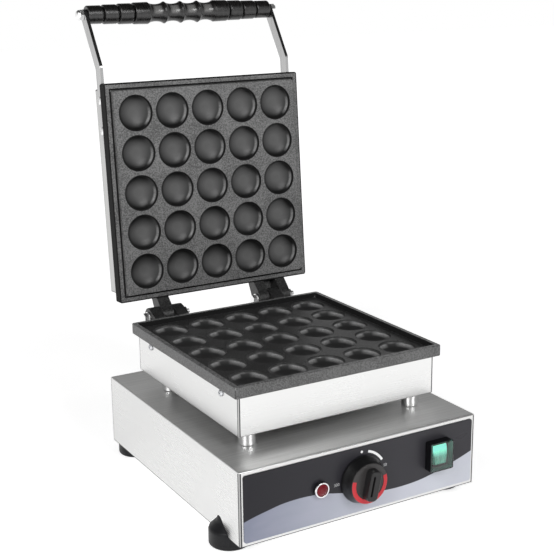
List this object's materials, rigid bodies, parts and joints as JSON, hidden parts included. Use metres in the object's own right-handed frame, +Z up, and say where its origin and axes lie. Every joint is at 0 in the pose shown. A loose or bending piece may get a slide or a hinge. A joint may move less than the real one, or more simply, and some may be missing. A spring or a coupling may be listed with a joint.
{
  "type": "countertop waffle maker",
  "caption": "Countertop waffle maker with small round cavities in two hinged square cast plates, a turned lift handle on flat arms, a stainless cabinet, thermostat knob, lamp and switch.",
  "frame": {"origin": "on the worktop, under the middle of the overall width and of the overall depth from the knob to the grip, lid open", "axes": "+X to the user's right, +Y from the front panel towards the hinges, +Z up"},
  "size_m": [0.321, 0.4524, 0.5421],
  "materials": {
    "stainless": "fine brushed stainless sheet",
    "polished_steel": "polished, turned or rolled steel",
    "arm_steel": "drawn flat steel, satin",
    "heater_steel": "heat-darkened steel sheath",
    "zinc": "bright zinc plating",
    "plate_coating": "cast aluminium under a dark grey non-stick coat",
    "rubber": "matte black moulded rubber",
    "black_plastic": "black moulded plastic, satin",
    "fascia_print": "printed aluminium plate, dark above and pale below a wave",
    "turned_grip": "black, turned, semi-gloss",
    "chrome": "bright chrome",
    "red_lens": "translucent dark red, glossy",
    "green_rocker": "translucent green, glossy",
    "clear_cover": "clear flexible plastic cover",
    "ceramic": "unglazed ceramic",
    "copper": "bare drawn copper tube"
  },
  "bodies": {
    "cabinet": {"foot_front_left": "rubber", "foot_front_right": "rubber", "foot_rear_left": "rubber", "foot_rear_right": "rubber", "foot_screw_front_left": "zinc", "foot_screw_front_right": "zinc", "foot_screw_rear_left": "zinc", "foot_screw_rear_right": "zinc", "cabinet_shell": "stainless", "cabinet_floor": "stainless", "fascia_plate": "fascia_print", "thermostat_body": "ceramic", "thermostat_capillary": "copper", "indicator_bezel": "chrome", "indicator_lens": "red_lens", "switch_housing": "black_plastic", "switch_cover": "clear_cover", "terminal_block": "ceramic", "cable_gland": "black_plastic", "wire_bush": "rubber", "spacer_front_left": "polished_steel", "spacer_front_right": "polished_steel", "spacer_rear_left": "polished_steel", "spacer_rear_right": "polished_steel", "spacer_bolt_front_left": "zinc", "spacer_bolt_front_right": "zinc", "spacer_bolt_rear_left": "zinc", "spacer_bolt_rear_right": "zinc", "lower_casing": "stainless", "lower_plate": "plate_coating", "casing_screw_front_left": "zinc", "casing_screw_front_right": "zinc", "casing_screw_rear_left": "zinc", "casing_screw_rear_right": "zinc", "lower_heater": "heater_steel", "lower_heater_clamp": "heater_steel", "hinge_bolt_left": "polished_steel", "hinge_nut_left": "polished_steel", "hinge_bolt_right": "polished_steel", "hinge_nut_right": "polished_steel"},
    "lid": {"lid_casing": "stainless", "lid_wire_bush": "rubber", "lid_plate": "plate_coating", "handle_arm_left": "arm_steel", "handle_arm_right": "arm_steel", "arm_screw_front_left": "polished_steel", "arm_screw_front_right": "polished_steel", "arm_screw_rear_left": "polished_steel", "arm_screw_rear_right": "polished_steel", "lid_casing_screw_left": "zinc", "lid_casing_screw_right": "zinc", "lid_heater": "heater_steel", "lid_heater_clamp": "heater_steel", "handle_grip": "turned_grip", "handle_rod": "polished_steel", "cap_nut_left": "polished_steel", "cap_nut_right": "polished_steel"},
    "knob": {"thermostat_knob": "black_plastic", "thermostat_spindle": "zinc"},
    "rocker": {"switch_rocker": "green_rocker"}
  },
  "joints": [
    {"name": "lid_hinge", "type": "hinge", "parent": "cabinet", "child": "lid", "pos_m": [0, 0.12319, 0.1676], "axis": [1, 0, 0], "range_deg": [0, 94.5]},
    {"name": "knob_turn", "type": "hinge", "parent": "cabinet", "child": "knob", "pos_m": [-0.003, -0.20221, 0.0575], "axis": [0, 1, 0], "range_deg": [0, 270]},
    {"name": "rocker_tilt", "type": "hinge", "parent": "cabinet", "child": "rocker", "pos_m": [0.096, -0.19941, 0.064], "axis": [1, 0, 0], "range_deg": [0, 20]}
  ]
}
